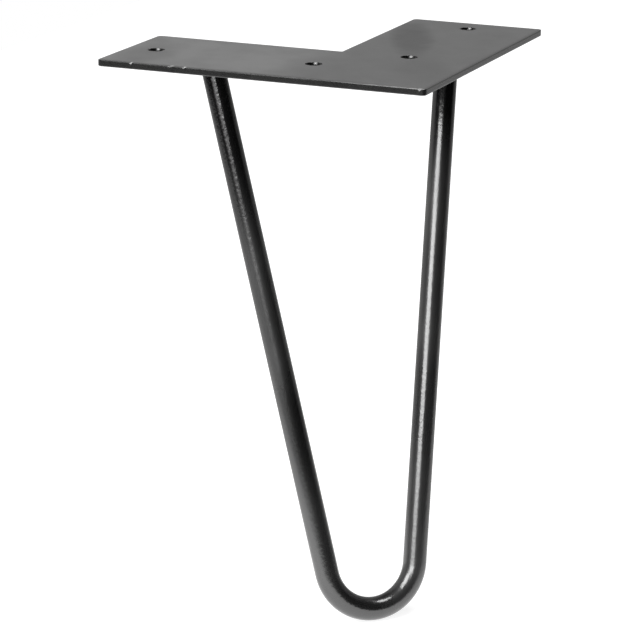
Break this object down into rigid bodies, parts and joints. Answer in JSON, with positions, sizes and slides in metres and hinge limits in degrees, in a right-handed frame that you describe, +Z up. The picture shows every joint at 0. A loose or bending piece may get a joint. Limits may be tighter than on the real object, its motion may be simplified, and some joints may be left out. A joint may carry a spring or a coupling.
{
  "type": "hairpin table leg",
  "caption": "Short hairpin table leg: a round steel rod bent into a narrow V with a rounded foot, welded under a flat L-shaped mounting plate with screw holes, in semi-gloss black lacquer.",
  "frame": {"origin": "on the plate's top face, where the centrelines of its two arms cross, straight above the foot", "axes": "+Z up out of the plate's top face; one arm of the plate runs along -X and the other along +Y"},
  "size_m": [0.1432, 0.1432, 0.2367],
  "materials": {
    "plate_lacquer": "semi-gloss black lacquer, worn to pale specks along one upper edge",
    "rod_lacquer": "semi-gloss black lacquer",
    "weld_lacquer": "semi-gloss black lacquer over a rippled weld"
  },
  "bodies": {
    "root": {"mounting_plate": "plate_lacquer", "hairpin_rod": "rod_lacquer", "weld_bead_left": "weld_lacquer", "weld_bead_right": "weld_lacquer"}
  },
  "joints": []
}
